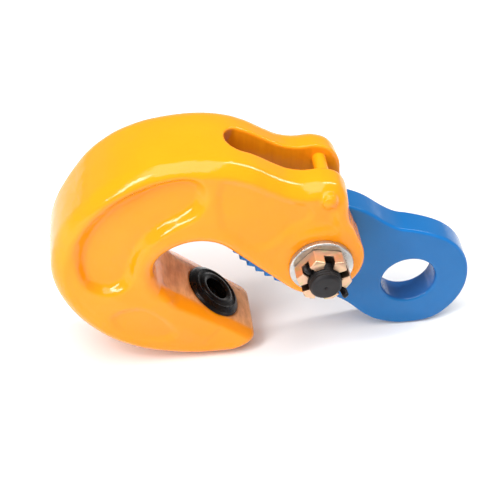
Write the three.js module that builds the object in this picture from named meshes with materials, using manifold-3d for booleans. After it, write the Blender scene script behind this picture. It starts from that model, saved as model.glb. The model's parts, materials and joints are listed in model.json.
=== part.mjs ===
// Plate lifting clamp for one tonne: a forged C body, a toothed cam lever on a bolt, and a round anvil.
// Millimetres, +Z up. The origin is on the ground under the clamp's mid-plane; -Y is the nut side.
// Every piece is drawn about the lever's pivot axis, which runs along Y, and the group stands it in place.
import * as THREE from 'three';
import { mergeVertices } from 'three/addons/utils/BufferGeometryUtils.js';
import Module from 'manifold-3d';

const wasm = await Module();
wasm.setup();

// Place of the lever's pivot axis
const PIVOT_X = 23.8;
const PIVOT_Z = 67.2;

// Body: half thickness at the cheeks, the jaw and the jaw's root, and its edge radii
const BODY_HALF = 26;
const JAW_HALF = 20.5;
const ROOT_HALF = 22.7;
const TAPER_START = 28;
const TAPER_END = 62;
const ROOT_START = 8;
const ROOT_END = 50;
const RIM_EDGE = 11;
const BODY_EDGE = 5;
const RIM_SIDE = 45;

// Body: boss, throat and jaw, with directions measured from the pivot
const BOSS_R = 21.8;
const THROAT_X = -59.4;
const THROAT_Z = -3;
const THROAT_R = 21;
const CHEEK_EDGE_DEG = 228.5;
const JAW_DEG = 230.3;
const JAW_FACE = 61.25;
const JAW_TIP_ALONG = 12.2;
const TIP_CORNER_Y = 20;
const TIP_CORNER_CUT = 7;
const BACK_PANEL_DEPTH = 5;
const FLAT_PANEL_DEPTH = 1.5;

// Slot for the lever
const SLOT_HALF = 8.15;
const SLOT_END_X = -42.5;
const SLOT_END_Z = 64;
const SLOT_LEAN_DEG = 21;
const SLOT_RISE = 20;
const SLOT_DROP = 58;

// Lever
const LEVER_HALF = 7.5;
const LEVER_EDGE = 1.2;
const EYE_X = 50.1;
const EYE_Z = -35.6;
const EYE_BORE_R = 14.1;
const CAM_X = 10.4;
const CAM_Z = 23;
const CAM_R = 58.3;
const CAM_HEEL_DEG = 244.6;
const TOOTH_DEG = 6;
const TOOTH_UNDERCUT_DEG = 0.4;
const TOOTH_DEPTH = 2.9;
const TOOTH_COUNT = 13;

// Bolt, washers and nut
const BOLT_R = 8;
const BOLT_END = 43;
const BOLT_CHAMFER = 1.5;
const BORE_RUNNING = 0.08;
const BORE_CLEAR = 0.3;
const SEAT = 0.1;
const WASHER_R = 15.6;
const WASHER_T = 3;
const HEX_FLATS = 24;
const HEX_CORNER_R = HEX_FLATS / Math.sqrt(3);
const HEX_CHAMFER = 1.4;
const HEX_CHAMFER_H = 1.6;
const WASHER_EDGE = 0.4;
const HEAD_H = 11.8;
const NUT_H = 9.3;
const NUT_SLOT_W = 4.6;
const NUT_SLOT_DEPTH = 5;

// Split pin, along the direction of one pair of nut slots
const PIN_DEG = 139;
const PIN_R = 1.8;
const PIN_EYE_AT = 11;
const PIN_EYE_LIFT = 1.5;
const PIN_HOLE_R = 2.1;
const PIN_LEG_R = 1.2;
const PIN_LEG_SPREAD = 0.5;
const PIN_LEG_BEND = [[-5, 0], [-9.5, 0], [-11.8, -0.6], [-13, -2.6], [-13.4, -4.6]];
const PIN_EYE_R = 1.5;
const PIN_WIRE_R = 1.05;
const PIN_EYE_STRETCH = 1.1;

// Stop pin across the slot
const STOP_X = 3.2;
const STOP_Z = 37.8;
const STOP_R = 3.4;
const STOP_NEAR = -26.4;
const STOP_FAR = 23.4;
const STOP_CLEAR = 0.2;
const STOP_CHAMFER = 0.8;

// Anvil and its screw
const ANVIL_ALONG = -14;
const ANVIL_R = 15.3;
const ANVIL_WALL_H = 0.9;
const ANVIL_FACE_R = 12.2;
const ANVIL_H = 2.9;
const RING_OUTER_R = 9.6;
const RING_INNER_R = 7.6;
const RING_H = 3.5;
const RING_EDGE = 0.6;
const RING_LIP = 1.4;
const ANVIL_BORE_R = 6.3;
const STEM_R = 9;
const STEM_H = 8;
const SCREW_R = 3;
const SCREW_HEAD_R = 5.2;
const SCREW_HEAD_H = 3.6;
const SCREW_SEAT = -5.5;
const SCREW_LENGTH = 14;
const SOCKET_R = 2.9;
const SOCKET_DEPTH = 2.2;
const SCREW_CHAMFER = 0.6;
const GAP = 0.3;

const DEG = Math.PI / 180;
const WASHER_SEAT = BODY_HALF + SEAT;
const HEX_SEAT = WASHER_SEAT + WASHER_T + SEAT;

// --- Outlines and solids --------------------------------------------------------------------------------

function polar(x, z, radius, degrees) {
  return new THREE.Vector2(x + radius * Math.cos(degrees * DEG), z + radius * Math.sin(degrees * DEG));
}

function arc(x, z, radius, from, to, steps) {
  return Array.from({ length: steps + 1 }, (_, i) => polar(x, z, radius, from + (to - from) * i / steps));
}

// A smooth curve through a few points, cut into even steps
function curve(list, steps) {
  const through = list.map(([x, z]) => new THREE.Vector2(x, z));
  return new THREE.SplineCurve(through).getSpacedPoints(steps);
}

function loop(list, steps) {
  return new THREE.Shape(curve([...list, list[0]], steps).slice(1));
}

function solid(geometry) {
  const bare = geometry.clone();
  bare.deleteAttribute('normal');
  bare.deleteAttribute('uv');
  const merged = mergeVertices(bare, 1e-4);
  const vertProperties = new Float32Array(merged.attributes.position.array);
  const triVerts = new Uint32Array(merged.index.array);
  return new wasm.Manifold(new wasm.Mesh({ numProp: 3, vertProperties, triVerts }));
}

function geometryOf(manifold) {
  const mesh = manifold.getMesh();
  const geometry = new THREE.BufferGeometry();
  geometry.setAttribute('position', new THREE.BufferAttribute(new Float32Array(mesh.vertProperties), 3));
  geometry.setIndex(new THREE.BufferAttribute(new Uint32Array(mesh.triVerts), 1));
  return geometry;
}

function cut(blank, ...tools) {
  return tools.reduce((left, tool) => left.subtract(solid(tool)), blank);
}

// A plate between two levels of y, drawn in the XZ plane, with its edges rounded inward by the edge radius
function plate(shape, near, far, edge = 0, steps = 2) {
  const geometry = new THREE.ExtrudeGeometry(shape, {
    depth: far - near - 2 * edge,
    bevelEnabled: edge > 0,
    bevelThickness: edge,
    bevelSize: edge,
    bevelOffset: -edge,
    bevelSegments: steps,
  });
  return geometry.translate(0, 0, edge - far).rotateX(Math.PI / 2);
}

// A turned piece about the Y axis; its profile runs from low y to high y
function turned(profile, sides = 36) {
  return new THREE.LatheGeometry(profile.map(([radius, y]) => new THREE.Vector2(radius, y)), sides);
}

function rod(radius, near, far, sides = 36) {
  return new THREE.CylinderGeometry(radius, radius, far - near, sides).translate(0, (near + far) / 2, 0);
}

// --- Body -----------------------------------------------------------------------------------------------

// The cheeks' end, from the boss to the top corner
const CHEEK_END = [[15.4, 20.5], [14.5, 27], [14.2, 33], [12.4, 38.6], [8.4, 43.4]];

// The crest, back and sole, from the cheeks' top corner to the underside of the jaw
const RIM = [
  [1.5, 45.9], [-7, 45.7], [-14.5, 47.5], [-22, 51.9], [-31.5, 58], [-43, 62.5], [-58, 64.4], [-76.5, 62.7],
  [-91.3, 58], [-102, 51.3], [-112, 41.6], [-123.8, 24], [-129.5, 4], [-128.2, -12.2], [-121.8, -28],
  [-112.1, -41.4], [-100.4, -51.8], [-86.2, -59.9], [-72, -64.9], [-60, -67], [-50, -67.2], [-42, -66.8],
];

function onJawFace(along) {
  const face = polar(0, 0, JAW_FACE, JAW_DEG);
  return polar(face.x, face.y, along, JAW_DEG + 90);
}

// Round the boss, up the cheeks' end, over the rim to the jaw's tip, and home through the throat
function bodyOutline() {
  const boss = arc(0, 0, BOSS_R, CHEEK_EDGE_DEG - 360, 30, 16);
  const rim = curve([...CHEEK_END, ...RIM, [-34.9, -64.3], [-31.2, -60]], 76);
  const tip = onJawFace(JAW_TIP_ALONG);
  const throat = arc(THROAT_X, THROAT_Z, THROAT_R, JAW_DEG, CHEEK_EDGE_DEG - 180, 18);
  return new THREE.Shape([...boss, ...rim, tip, ...throat]);
}

// A blank that runs on past the boss and the jaw's tip, so only the rim gets its broad edge radius
function rimOutline() {
  const lead = [[RIM_SIDE, 18], [26, 19.6], [18.5, 22.5], [15.4, 27]];
  const side = [[RIM_SIDE, RIM[RIM.length - 1][1]], lead[0]].map(([x, z]) => new THREE.Vector2(x, z));
  return new THREE.Shape([...curve([...lead.slice(1), ...CHEEK_END.slice(2), ...RIM], 72), ...side]);
}

// The crescent panel sunk in the curved back
function backPanel() {
  return loop([
    [-56, 46], [-61, 53], [-79, 53.6], [-93, 50], [-104, 42.4], [-111, 30], [-113, 13], [-110, -2],
    [-102, -8], [-94, -4], [-89.6, 5], [-85, 15.5], [-78, 24], [-68, 30.5], [-58, 35],
  ], 36);
}

// The shallow panel across each cheek, inside the rim
function cheekPanel() {
  return loop([
    [-47, 54], [-35, 52.5], [-24, 46], [-14, 40.5], [-6, 36.5], [-5, 28], [-14, 22], [-24, 14], [-33, 14],
    [-42, 21.5], [-50, 27], [-51.5, 40], [-50, 51],
  ], 32);
}

// The shallow panel under the throat, at the root of the jaw
function jawPanel() {
  return loop([
    [-98, -18], [-103, -27], [-99, -37], [-89, -44], [-79, -47], [-76, -40], [-81, -26], [-90, -17],
  ], 24);
}

function sinkPanel(forging, shape, depth) {
  const near = solid(plate(shape, -BODY_HALF - depth, -BODY_HALF + depth, depth * 0.98));
  return forging.subtract(near).subtract(near.mirror([0, 1, 0]));
}

// The body grows thinner below the throat, and most towards the jaw's tip
function taperToJaw(forging) {
  const mesh = forging.getMesh();
  const vertProperties = Float32Array.from(mesh.vertProperties);
  const c = Math.cos(JAW_DEG * DEG);
  const s = Math.sin(JAW_DEG * DEG);
  for (let i = 0; i < vertProperties.length; i += 3) {
    const x = vertProperties[i];
    const z = vertProperties[i + 2];
    const root = THREE.MathUtils.smoothstep(x * s - z * c, ROOT_START, ROOT_END);
    const thin = THREE.MathUtils.smoothstep(x * c + z * s, TAPER_START, TAPER_END);
    const half = THREE.MathUtils.lerp(JAW_HALF, ROOT_HALF, root);
    vertProperties[i + 1] *= THREE.MathUtils.lerp(1, half / BODY_HALF, thin);
  }
  return new wasm.Manifold(new wasm.Mesh({ numProp: 3, vertProperties, triVerts: mesh.triVerts }));
}

// The open slot's straight part, as far as the lean of its rear end
function slotSides() {
  const lean = Math.tan(SLOT_LEAN_DEG * DEG);
  const rear = SLOT_END_X + SLOT_HALF / Math.cos(SLOT_LEAN_DEG * DEG);
  return new THREE.Shape([
    new THREE.Vector2(rear + SLOT_RISE * lean, SLOT_END_Z + SLOT_RISE),
    new THREE.Vector2(rear - SLOT_DROP * lean, SLOT_END_Z - SLOT_DROP),
    new THREE.Vector2(-6, -40),
    new THREE.Vector2(40, -40),
    new THREE.Vector2(40, SLOT_END_Z + SLOT_RISE),
  ]);
}

// The slot's round rear end, which leans back towards the throat
function slotEnd() {
  const rear = SLOT_END_X + SLOT_HALF / Math.cos(SLOT_LEAN_DEG * DEG);
  const end = rod(SLOT_HALF, -SLOT_DROP, SLOT_RISE, 24).rotateX(Math.PI / 2);
  return end.rotateY(SLOT_LEAN_DEG * DEG).translate(rear, 0, SLOT_END_Z);
}

// Stands a piece drawn along Y on the jaw face; its +Y side turns away from the face
function onJaw(geometry) {
  const place = onJawFace(ANVIL_ALONG);
  return geometry.rotateX(Math.PI / 2).rotateY((270 - JAW_DEG) * DEG).translate(place.x, 0, place.y);
}

// Takes one corner off the jaw's tip, on the side that the sign names
function tipCorner(sign) {
  const wedge = new THREE.BoxGeometry(TIP_CORNER_CUT * 4, 60, TIP_CORNER_CUT * 4).rotateY(Math.PI / 4);
  const reach = TIP_CORNER_CUT * (Math.SQRT2 - 0.5);
  return onJaw(wedge.translate(JAW_TIP_ALONG - ANVIL_ALONG + reach, 0, sign * TIP_CORNER_Y + sign * reach));
}

function clampBody() {
  const rim = solid(plate(rimOutline(), -BODY_HALF, BODY_HALF, RIM_EDGE, 4));
  let forging = solid(plate(bodyOutline(), -BODY_HALF, BODY_HALF, BODY_EDGE, 3)).intersect(rim);
  forging = sinkPanel(forging, backPanel(), BACK_PANEL_DEPTH);
  forging = sinkPanel(forging, cheekPanel(), FLAT_PANEL_DEPTH);
  forging = sinkPanel(forging, jawPanel(), FLAT_PANEL_DEPTH);
  return geometryOf(cut(
    taperToJaw(forging),
    plate(slotSides(), -SLOT_HALF, SLOT_HALF),
    slotEnd(),
    rod(BOLT_R + BORE_CLEAR, -BOLT_END, BOLT_END),
    rod(STOP_R + STOP_CLEAR, -BOLT_END, BOLT_END, 24).translate(STOP_X, 0, STOP_Z),
    onJaw(rod(STEM_R + GAP, -STEM_H - GAP, STEM_H)),
    onJaw(rod(SCREW_R + GAP, SCREW_SEAT - SCREW_LENGTH - GAP, 0, 24)),
    tipCorner(-1),
    tipCorner(1),
  ));
}

// --- Lever ----------------------------------------------------------------------------------------------

// The lever's side: the heel's underside, round the shackle eye, the back, and the smooth arc of the cam
function leverOutline() {
  const edge = curve([
    [-14.6, -29.2], [-4, -34], [6, -39.2], [14.9, -44.9], [20.4, -49.7], [26, -55.9], [30.9, -60.2],
    [35.2, -63], [43.7, -66.2], [51.7, -67.1], [59.2, -66.7], [66.2, -64.4], [72.1, -59.6], [76.9, -52.9],
    [80.2, -44.7], [81.2, -34.9], [79.5, -25], [74.9, -16.3], [68.7, -10.1], [62, -6], [55.3, -3.1],
    [48.5, -0.8], [44.9, 0.1], [40.8, 2], [35.1, 6.1], [26.2, 13.5], [18, 18], [6, 22.5], [-6, 26.5],
    [-22, 31.5], [-38, 37.2], [-43, 38.5],
  ], 78);
  const cam = arc(CAM_X, CAM_Z, CAM_R, CAM_HEEL_DEG - TOOTH_COUNT * TOOTH_DEG, CAM_HEEL_DEG - 1, 26);
  const shape = new THREE.Shape([...edge, ...cam]);
  shape.holes.push(new THREE.Path(arc(EYE_X, EYE_Z, EYE_BORE_R, 360, 0, 40).slice(1)));
  return shape;
}

// The gap behind one saw tooth: a steep flank on the side away from the heel, then a long slope
function toothGap(tip) {
  const next = tip - TOOTH_DEG;
  const root = [CAM_R - TOOTH_DEPTH, tip - TOOTH_UNDERCUT_DEG];
  const corners = [[CAM_R + 2, tip], [CAM_R, tip], root, [CAM_R, next], [CAM_R + 2, next]];
  const shape = new THREE.Shape(corners.map(([radius, degrees]) => polar(CAM_X, CAM_Z, radius, degrees)));
  return plate(shape, -LEVER_HALF - 1, LEVER_HALF + 1);
}

function camLever() {
  const tips = Array.from({ length: TOOTH_COUNT - 1 }, (_, i) => CAM_HEEL_DEG - (i + 1) * TOOTH_DEG);
  const gaps = tips.map(toothGap);
  const blank = solid(plate(leverOutline(), -LEVER_HALF, LEVER_HALF, LEVER_EDGE));
  return geometryOf(cut(blank, rod(BOLT_R + BORE_RUNNING, -LEVER_HALF - 1, LEVER_HALF + 1, 40), ...gaps));
}

// --- Bolt, washers, nut and split pin -------------------------------------------------------------------

// A hexagonal prism with corners at +-30 degrees from the split pin, chamfered on its outer end
function hexagon(near, far) {
  const prism = rod(HEX_CORNER_R, near, far, 6).rotateY((60 - PIN_DEG) * DEG);
  const top = Math.abs(far) > Math.abs(near);
  const drop = HEX_CORNER_R - HEX_CHAMFER;
  const wide = HEX_CORNER_R + 1;
  const cone = turned(top
    ? [[0, near - 1], [wide, near - 1], [wide, far - HEX_CHAMFER_H], [drop, far], [0, far]]
    : [[0, near], [drop, near], [wide, near + HEX_CHAMFER_H], [wide, far + 1], [0, far + 1]]);
  return solid(prism).intersect(solid(cone));
}

function pinBore(radius, from, to) {
  return rod(radius, from, to, 20).rotateZ(-Math.PI / 2).rotateY(-PIN_DEG * DEG);
}

function pinLevel() {
  return -HEX_SEAT - NUT_H + NUT_SLOT_DEPTH - PIN_R - SEAT;
}

function pivotBolt() {
  const shank = turned([
    [0, -BOLT_END + 1], [1, -BOLT_END],
    [BOLT_R - BOLT_CHAMFER, -BOLT_END], [BOLT_R, -BOLT_END + BOLT_CHAMFER],
    [BOLT_R, HEX_SEAT + 1], [0, HEX_SEAT + 1],
  ], 40);
  const bolt = solid(shank).add(hexagon(HEX_SEAT, HEX_SEAT + HEAD_H));
  return geometryOf(cut(bolt, pinBore(PIN_HOLE_R, -20, 20).translate(0, pinLevel(), 0)));
}

function washer(near, far) {
  const bore = BOLT_R + BORE_CLEAR;
  const face = WASHER_R - WASHER_EDGE;
  return turned([
    [bore, near], [face, near], [WASHER_R, near + WASHER_EDGE], [WASHER_R, far - WASHER_EDGE], [face, far],
    [bore, far], [bore, near],
  ]);
}

function castleNut() {
  const far = -HEX_SEAT;
  const near = far - NUT_H;
  const slots = [0, 1, 2].map((i) => {
    const slot = new THREE.BoxGeometry(40, NUT_SLOT_DEPTH + 1, NUT_SLOT_W);
    return slot.translate(0, near - 1 + (NUT_SLOT_DEPTH + 1) / 2, 0).rotateY(-(PIN_DEG + 60 * i) * DEG);
  });
  return geometryOf(cut(hexagon(near, far), rod(BOLT_R + BORE_CLEAR, near - 1, far + 1), ...slots));
}

// One leg of the split pin, bent up towards the bolt's end
function pinLeg(side) {
  const bend = PIN_LEG_BEND.map(([u, lift]) => new THREE.Vector3(u, lift, side * PIN_LEG_SPREAD));
  const path = new THREE.CatmullRomCurve3(bend);
  const section = new THREE.Shape(arc(0, 0, PIN_LEG_R, 0, 360, 10).slice(1));
  return new THREE.ExtrudeGeometry(section, { steps: 12, bevelEnabled: false, extrudePath: path });
}

function splitPin() {
  const shank = rod(PIN_R, -9, PIN_EYE_AT - PIN_EYE_R, 20).rotateZ(-Math.PI / 2);
  const eye = new THREE.TorusGeometry(PIN_EYE_R, PIN_WIRE_R, 12, 24);
  eye.scale(PIN_EYE_STRETCH, 1, 1);
  eye.translate(PIN_EYE_AT, -PIN_EYE_LIFT, 0);
  const whole = [solid(shank), solid(eye), solid(pinLeg(1)), solid(pinLeg(-1))];
  const pin = whole.reduce((joined, piece) => joined.add(piece));
  return geometryOf(pin).rotateY(-PIN_DEG * DEG).translate(0, pinLevel(), 0);
}

// --- Stop pin, anvil and its screw ----------------------------------------------------------------------

function stopPin() {
  const face = STOP_R - STOP_CHAMFER;
  const pin = turned([
    [0, STOP_NEAR], [face, STOP_NEAR], [STOP_R, STOP_NEAR + STOP_CHAMFER],
    [STOP_R, STOP_FAR - STOP_CHAMFER], [face, STOP_FAR], [0, STOP_FAR],
  ], 24);
  return pin.translate(STOP_X, 0, STOP_Z);
}

// A flanged button: bevelled rim, face, raised ring and a counterbore for the screw
function jawAnvil() {
  const shank = SCREW_R + GAP;
  return onJaw(turned([
    [shank, -STEM_H], [STEM_R, -STEM_H], [STEM_R, GAP], [ANVIL_R, GAP], [ANVIL_R, ANVIL_WALL_H],
    [ANVIL_FACE_R, ANVIL_H], [RING_OUTER_R + RING_EDGE, ANVIL_H], [RING_OUTER_R, RING_H],
    [RING_INNER_R, RING_H], [ANVIL_BORE_R, RING_H - RING_LIP], [ANVIL_BORE_R, SCREW_SEAT],
    [shank, SCREW_SEAT], [shank, -STEM_H],
  ], 40));
}

function anvilScrew() {
  const top = SCREW_SEAT + SEAT + SCREW_HEAD_H;
  const screw = turned([
    [0, SCREW_SEAT - SCREW_LENGTH], [SCREW_R, SCREW_SEAT - SCREW_LENGTH], [SCREW_R, SCREW_SEAT + SEAT],
    [SCREW_HEAD_R, SCREW_SEAT + SEAT], [SCREW_HEAD_R, top - SCREW_CHAMFER],
    [SCREW_HEAD_R - SCREW_CHAMFER, top],
    [0, top],
  ], 30);
  return onJaw(geometryOf(cut(solid(screw), rod(SOCKET_R, top - SOCKET_DEPTH, top + 1, 6))));
}

// --- Assembly -------------------------------------------------------------------------------------------

function part(name, geometry, color, roughness, metalness) {
  const mesh = new THREE.Mesh(geometry, new THREE.MeshStandardMaterial({ color, roughness, metalness }));
  mesh.name = name;
  return mesh;
}

const clamp = new THREE.Group();
clamp.position.set(PIVOT_X, 0, PIVOT_Z);
clamp.add(
  part('clamp_body', clampBody(), 0xffa92d, 0.3, 0),
  part('cam_lever', camLever(), 0x2e78be, 0.35, 0),
  part('pivot_bolt', pivotBolt(), 0x413e42, 0.45, 0.9),
  part('nut_washer', washer(-WASHER_SEAT - WASHER_T, -WASHER_SEAT), 0xbebebe, 0.4, 1),
  part('head_washer', washer(WASHER_SEAT, WASHER_SEAT + WASHER_T), 0xbebebe, 0.4, 1),
  part('castle_nut', castleNut(), 0xd2aa82, 0.35, 1),
  part('split_pin', splitPin(), 0x1c1a1b, 0.5, 0.9),
  part('stop_pin', stopPin(), 0xffc53c, 0.3, 0),
  part('jaw_anvil', jawAnvil(), 0x171414, 0.4, 0.9),
  part('anvil_screw', anvilScrew(), 0x201c1c, 0.5, 0.9),
);

export default clamp;
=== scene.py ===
"""A plate lifting clamp, standing on a pale floor in soft studio light.

The forged and turned pieces are drawn as signed distances about the lever's pivot axis, in millimetres
(x away from the curved back, y across, z up), and meshed on a regular grid.
"""
import json
import math

import bpy
import numpy as np
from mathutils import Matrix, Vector


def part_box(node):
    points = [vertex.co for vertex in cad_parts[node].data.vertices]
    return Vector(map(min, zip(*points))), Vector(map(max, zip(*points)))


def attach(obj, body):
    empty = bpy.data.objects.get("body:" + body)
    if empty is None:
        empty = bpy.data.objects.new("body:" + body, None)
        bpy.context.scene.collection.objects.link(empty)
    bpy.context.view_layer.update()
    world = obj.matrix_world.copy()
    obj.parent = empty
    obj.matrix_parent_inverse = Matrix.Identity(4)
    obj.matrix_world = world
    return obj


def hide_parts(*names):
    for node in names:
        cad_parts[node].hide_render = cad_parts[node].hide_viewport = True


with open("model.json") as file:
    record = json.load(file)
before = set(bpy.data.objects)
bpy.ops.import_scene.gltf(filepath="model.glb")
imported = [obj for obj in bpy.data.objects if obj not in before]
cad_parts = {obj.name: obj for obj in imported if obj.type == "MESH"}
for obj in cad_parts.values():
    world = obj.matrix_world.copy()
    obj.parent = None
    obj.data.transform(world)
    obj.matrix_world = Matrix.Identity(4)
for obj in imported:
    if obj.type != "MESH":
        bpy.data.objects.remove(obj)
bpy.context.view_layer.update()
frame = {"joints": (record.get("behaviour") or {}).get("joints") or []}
PIVOT = np.array(frame["joints"][0]["pos_m"], float)
MM = 0.001
RAD = math.pi / 180


def pivot_mm(node):
    """A CAD node's box, in millimetres about the pivot."""
    low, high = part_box(node)
    return (np.array(low) - PIVOT) / MM, (np.array(high) - PIVOT) / MM


BODY_LOW, BODY_HIGH = pivot_mm("clamp_body")
BOLT_LOW, BOLT_HIGH = pivot_mm("pivot_bolt")
NUT_LOW, NUT_HIGH = pivot_mm("castle_nut")
WASHER_LOW, WASHER_HIGH = pivot_mm("nut_washer")
LEVER_LOW, LEVER_HIGH = pivot_mm("cam_lever")
BODY_HALF = BODY_HIGH[1]

# --- Curves, loops and flat fields ----------------------------------------------------------------------


def polar(x, z, radius, degrees):
    """Points at an angle on a circle about (x, z)."""
    turn = np.radians(degrees)
    return np.stack([x + radius * np.cos(turn), z + radius * np.sin(turn)], -1)


def arc(x, z, radius, start, stop, step=0.5):
    """An arc in degrees, cut into even steps."""
    count = max(2, int(abs(stop - start) * RAD * radius / step))
    return polar(x, z, radius, np.linspace(start, stop, count + 1))


def spline(points, step=0.5, closed=False):
    """A smooth curve through the points, cut into even steps."""
    p = np.array(points, float)
    p = np.concatenate([p[-2:-1] if closed else p[:1], p, p[1:2] if closed else p[-1:]])
    out = []
    for a, b, c, d in zip(p[:-3], p[1:-2], p[2:-1], p[3:]):
        t = np.linspace(0, 1, max(2, int(np.linalg.norm(c - b) / (step * 0.4))) + 1)[:-1, None]
        square, cube = (2 * a - 5 * b + 4 * c - d) * t**2, (3 * b - a - 3 * c + d) * t**3
        out.append(0.5 * (2 * b + (c - a) * t + square + cube))
    dense = np.concatenate(out + [p[-2:-1]])
    run = np.concatenate([[0], np.cumsum(np.linalg.norm(np.diff(dense, axis=0), axis=1))])
    even = np.linspace(0, run[-1], max(2, int(run[-1] / step)) + 1)
    return np.stack([np.interp(even, run, dense[:, k]) for k in (0, 1)], -1)


def loop(points, step=0.8):
    """A smooth closed loop through the points, without its repeated last point."""
    return spline(list(points) + [points[0]], step, closed=True)[:-1]


def loop_distance(x, z, points):
    """Signed distance to a closed loop, negative inside, and the number of the nearest segment."""
    best = np.full(x.shape, 1e9)
    near = np.zeros(x.shape, int)
    inside = np.zeros(x.shape, bool)
    ends = np.roll(points, -1, axis=0)
    for i, (a, b) in enumerate(zip(points, ends)):
        ex, ez = b - a
        t = np.clip(((x - a[0]) * ex + (z - a[1]) * ez) / (ex * ex + ez * ez + 1e-12), 0, 1)
        gap = (x - a[0] - t * ex) ** 2 + (z - a[1] - t * ez) ** 2
        closer = gap < best
        best[closer] = gap[closer]
        near[closer] = i
        if a[1] != b[1]:
            inside ^= ((a[1] > z) != (b[1] > z)) & (x < ex * (z - a[1]) / ez + a[0])
    best = np.sqrt(best)
    return np.where(inside, -best, best), near


def blur(values, cells):
    """A soft blur of a flat grid."""
    reach = int(math.ceil(cells * 3))
    weights = np.exp(-0.5 * (np.arange(-reach, reach + 1) / cells) ** 2)
    weights /= weights.sum()
    for axis in (0, 1):
        padded = np.pad(values, [(reach, reach) if k == axis else (0, 0) for k in (0, 1)], mode="edge")
        count = values.shape[axis]
        values = sum(w * np.take(padded, range(i, i + count), axis) for i, w in enumerate(weights))
    return values


class Flat:
    """Values on a flat grid of x and z, read anywhere through a smooth cubic spline."""

    def __init__(self, low, high, step):
        self.low, self.step = np.array(low, float), step
        counts = [int(math.ceil((high[k] - low[k]) / step)) + 1 for k in (0, 1)]
        axes = [low[k] + step * np.arange(counts[k]) for k in (0, 1)]
        self.x, self.z = np.meshgrid(*axes, indexing="ij")
        self.layers = {}

    def put(self, name, values, cells=0.0):
        self.layers[name] = blur(values, cells) if cells else values

    def read(self, x, z, *names):
        u, v = (x - self.low[0]) / self.step, (z - self.low[1]) / self.step
        shape = self.x.shape
        i = np.clip(np.floor(u).astype(int), 1, shape[0] - 3)
        k = np.clip(np.floor(v).astype(int), 1, shape[1] - 3)
        wu, wv = weights_of(u - i), weights_of(v - k)
        found = []
        for name in names:
            grid = self.layers[name]
            found.append(sum(wu[a] * wv[b] * grid[i + a - 1, k + b - 1] for a in range(4) for b in range(4)))
        return found


def weights_of(t):
    """The four weights of a cubic spline across one cell."""
    t = np.clip(t, 0, 1)
    return (1 - t) ** 3 / 6, (3 * t**3 - 6 * t**2 + 4) / 6, (-3 * t**3 + 3 * t**2 + 3 * t + 1) / 6, t**3 / 6


def smooth(value, start, stop):
    """A soft step from 0 at start to 1 at stop."""
    t = np.clip((value - start) / (stop - start), 0, 1)
    return t * t * (3 - 2 * t)


def meet(u, v, radius):
    """What lies inside both u and v, with the edge where they meet rounded to the radius."""
    u, v = u + radius, v + radius
    return np.minimum(np.maximum(u, v), 0) + np.hypot(np.maximum(u, 0), np.maximum(v, 0)) - radius


def join(u, v, radius):
    """What lies inside u or v, with a fillet of the radius between them."""
    return -meet(-u, -v, radius)


# --- Meshing a signed distance --------------------------------------------------------------------------

CORNERS = np.array([(i, j, k) for i in (0, 1) for j in (0, 1) for k in (0, 1)])
EDGES = [(a, b) for a in range(8) for b in range(a + 1, 8) if abs(CORNERS[a] - CORNERS[b]).sum() == 1]


def gradient(shape, p, reach=0.02):
    """How fast the distance grows in x, y and z at each point."""
    out = np.empty_like(p)
    for k in range(3):
        ahead, behind = p.copy(), p.copy()
        ahead[:, k] += reach
        behind[:, k] -= reach
        out[:, k] = (shape(*ahead.T) - shape(*behind.T)) / (2 * reach)
    return out


def surface_of(shape, low, high, step, passes=3):
    """Vertices and quads of the surface where the shape's distance is zero."""
    counts = np.ceil((np.array(high) - low) / step).astype(int) + 1
    axes = [low[k] + step * np.arange(counts[k]) for k in range(3)]
    values = np.empty(counts)
    for i, x in enumerate(axes[0]):
        y, z = np.meshgrid(axes[1], axes[2], indexing="ij")
        values[i] = shape(np.full(y.shape, x), y, z)
    inside = values < 0
    last = counts - 1
    total = sum(inside[a:last[0] + a, b:last[1] + b, c:last[2] + c].astype(int) for a, b, c in CORNERS)
    cells = np.argwhere((total > 0) & (total < 8))
    at = [values[tuple((cells + c).T)] for c in CORNERS]
    place, crossings = np.zeros((len(cells), 3)), np.zeros(len(cells))
    for a, b in EDGES:
        crosses = (at[a] < 0) != (at[b] < 0)
        t = np.where(crosses, at[a] / np.where(crosses, at[a] - at[b], 1), 0)[:, None]
        place += np.where(crosses[:, None], CORNERS[a] + t * (CORNERS[b] - CORNERS[a]), 0)
        crossings += crosses
    points = np.array(low) + step * (cells + place / crossings[:, None])
    number = np.full(counts - 1, -1)
    number[tuple(cells.T)] = np.arange(len(cells))
    quads = []
    for k in range(3):
        ahead, u, v = (np.eye(3, dtype=int)[(k + i) % 3] for i in range(3))
        limit = counts - ahead
        here = inside[:limit[0], :limit[1], :limit[2]]
        there = inside[ahead[0]:, ahead[1]:, ahead[2]:]
        found = np.argwhere(here != there)
        found = found[(found[:, (k + 1) % 3] > 0) & (found[:, (k + 2) % 3] > 0)]
        ring = np.stack([number[tuple((found - c).T)] for c in (u + v, v, 0 * u, u)], 1)
        leaving = here[tuple(found.T)]
        ring[~leaving] = ring[~leaving][:, ::-1]
        quads.append(ring)
    for _ in range(passes):
        slope = gradient(shape, points)
        length = np.maximum((slope**2).sum(1), 1e-6)
        move = -(shape(*points.T) / length)[:, None] * slope
        far = np.maximum(np.linalg.norm(move, axis=1) / (0.5 * step), 1)
        points = points + move / far[:, None]
    return points, np.concatenate(quads)


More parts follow.
